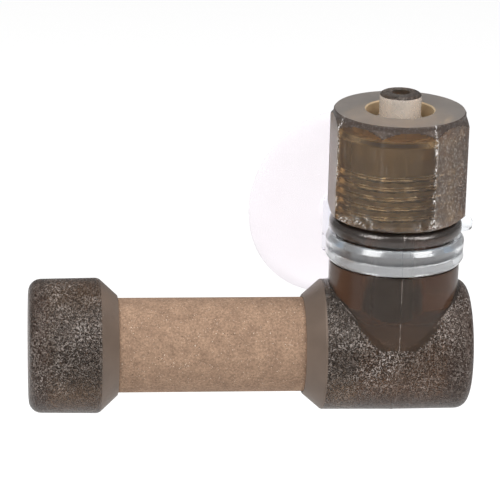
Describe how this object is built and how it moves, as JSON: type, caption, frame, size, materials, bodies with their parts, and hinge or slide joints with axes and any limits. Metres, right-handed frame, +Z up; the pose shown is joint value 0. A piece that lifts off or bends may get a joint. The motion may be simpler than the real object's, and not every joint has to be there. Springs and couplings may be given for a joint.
{
  "type": "aquarium carbon dioxide diffuser",
  "caption": "Small T-shaped aquarium diffuser: ceramic tube with end cap, smoke plastic tee, screw-down hose nut, and a clear swivelling ring with a suction cup.",
  "frame": {"origin": "middle of the suction cup's rim, in the plane that meets the glass", "axes": "+X along the ceramic tube's axis from the end cap towards the tee's closed end, +Z up along the neck towards the hose nozzle, +Y towards the back, where the glass is when the cup is swung square"},
  "size_m": [0.0448, 0.0235, 0.0328],
  "materials": {
    "soft_vinyl": "clear soft vinyl, glossy, faint lavender tint",
    "clear_plastic": "clear glossy plastic",
    "smoke_plastic": "smoke brown translucent plastic, smooth neck, fine pebbled barrel, cap and nut",
    "ceramic": "matt porous sintered ceramic, fine tan grain",
    "seal_rubber": "matt translucent silicone rubber"
  },
  "bodies": {
    "cup": {"suction_cup": "soft_vinyl"},
    "holder": {"holder_ring": "clear_plastic"},
    "tee": {"tee_body": "smoke_plastic", "end_cap": "smoke_plastic", "ceramic_tube": "ceramic", "body_seal": "seal_rubber", "cap_seal": "seal_rubber"},
    "clamp": {"clamp_ring": "clear_plastic"},
    "nut": {"compression_nut": "smoke_plastic"}
  },
  "joints": [
    {"name": "cup_spin", "type": "hinge", "parent": "cup", "child": "holder", "pos_m": [0, 0, 0], "axis": [-0.3032, 0.9529, 0], "continuous": true},
    {"name": "neck_swivel", "type": "hinge", "parent": "holder", "child": "tee", "pos_m": [0.00437, -0.01372, 0], "axis": [0, 0, 1], "range_deg": [-31, 247]},
    {"name": "nut_lift", "type": "slide", "parent": "tee", "child": "clamp", "axis": [0, 0, 1], "range_m": [0, 0.0063]},
    {"name": "nut_turn", "type": "hinge", "parent": "clamp", "child": "nut", "pos_m": [0.00437, -0.01372, 0], "axis": [0, 0, 1], "range_deg": [0, 2268]}
  ],
  "couplings": [
    {"joint": "nut_turn", "follows": "nut_lift", "rad_per_m": 6283.2}
  ]
}
